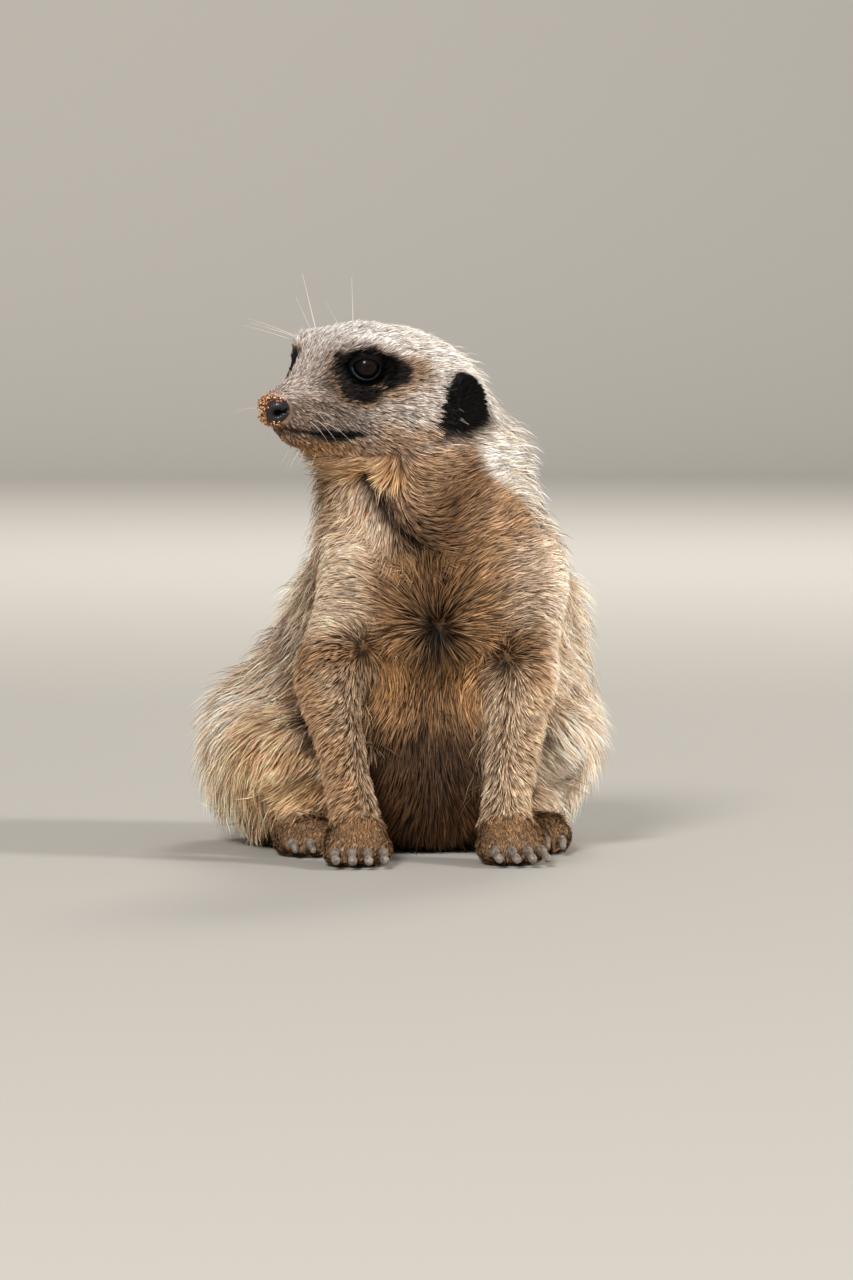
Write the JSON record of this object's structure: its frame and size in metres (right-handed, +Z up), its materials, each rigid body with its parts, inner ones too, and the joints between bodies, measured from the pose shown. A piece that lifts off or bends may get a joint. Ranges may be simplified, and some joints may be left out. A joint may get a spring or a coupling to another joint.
{
  "type": "meerkat",
  "caption": "Still life-size meerkat sitting on its rump with forelegs planted and head turned to its right, tail laid out behind.",
  "frame": {"origin": "on the floor, under the middle of the bounding box, tail included", "axes": "+Z up; the chest faces -Y; the animal's left side is at +X; the tail runs back along +Y"},
  "size_m": [0.1264, 0.3756, 0.1799],
  "materials": {
    "pale_fur": "cream fur with brown ticking",
    "tan_fur": "tan fur with dark roots and pale tips",
    "orange_fur": "orange tan fur",
    "grizzled_fur": "grizzled grey fur with dark bars",
    "foot_fur": "short tan fur",
    "black_fur": "black brown fur",
    "ear_fur": "short black fur",
    "nose_leather": "moist dark leather",
    "eye": "wet dark brown eye",
    "whisker": "pale stiff bristle",
    "claw_horn": "grey horn"
  },
  "bodies": {
    "root": {"belly": "tan_fur", "bristle_left": "whisker", "bristle_right": "whisker", "chest": "tan_fur", "claw_forefoot_left_1": "claw_horn", "claw_forefoot_left_2": "claw_horn", "claw_forefoot_left_3": "claw_horn", "claw_forefoot_left_4": "claw_horn", "claw_forefoot_right_1": "claw_horn", "claw_forefoot_right_2": "claw_horn", "claw_forefoot_right_3": "claw_horn", "claw_forefoot_right_4": "claw_horn", "claw_hindfoot_left_1": "claw_horn", "claw_hindfoot_left_2": "claw_horn", "claw_hindfoot_left_3": "claw_horn", "claw_hindfoot_left_4": "claw_horn", "claw_hindfoot_right_1": "claw_horn", "claw_hindfoot_right_2": "claw_horn", "claw_hindfoot_right_3": "claw_horn", "claw_hindfoot_right_4": "claw_horn", "ear_left": "ear_fur", "ear_right": "ear_fur", "eye_left": "eye", "eye_right": "eye", "forefoot_left": "foot_fur", "forefoot_right": "foot_fur", "foreleg_left": "orange_fur", "foreleg_right": "orange_fur", "head": "pale_fur", "hindfoot_left": "foot_fur", "hindfoot_right": "foot_fur", "hindleg_left": "orange_fur", "hindleg_right": "orange_fur", "neck": "pale_fur", "nose": "nose_leather", "rump": "grizzled_fur", "tail_middle": "tan_fur", "tail_root": "tan_fur", "tail_tip": "black_fur"}
  },
  "joints": []
}
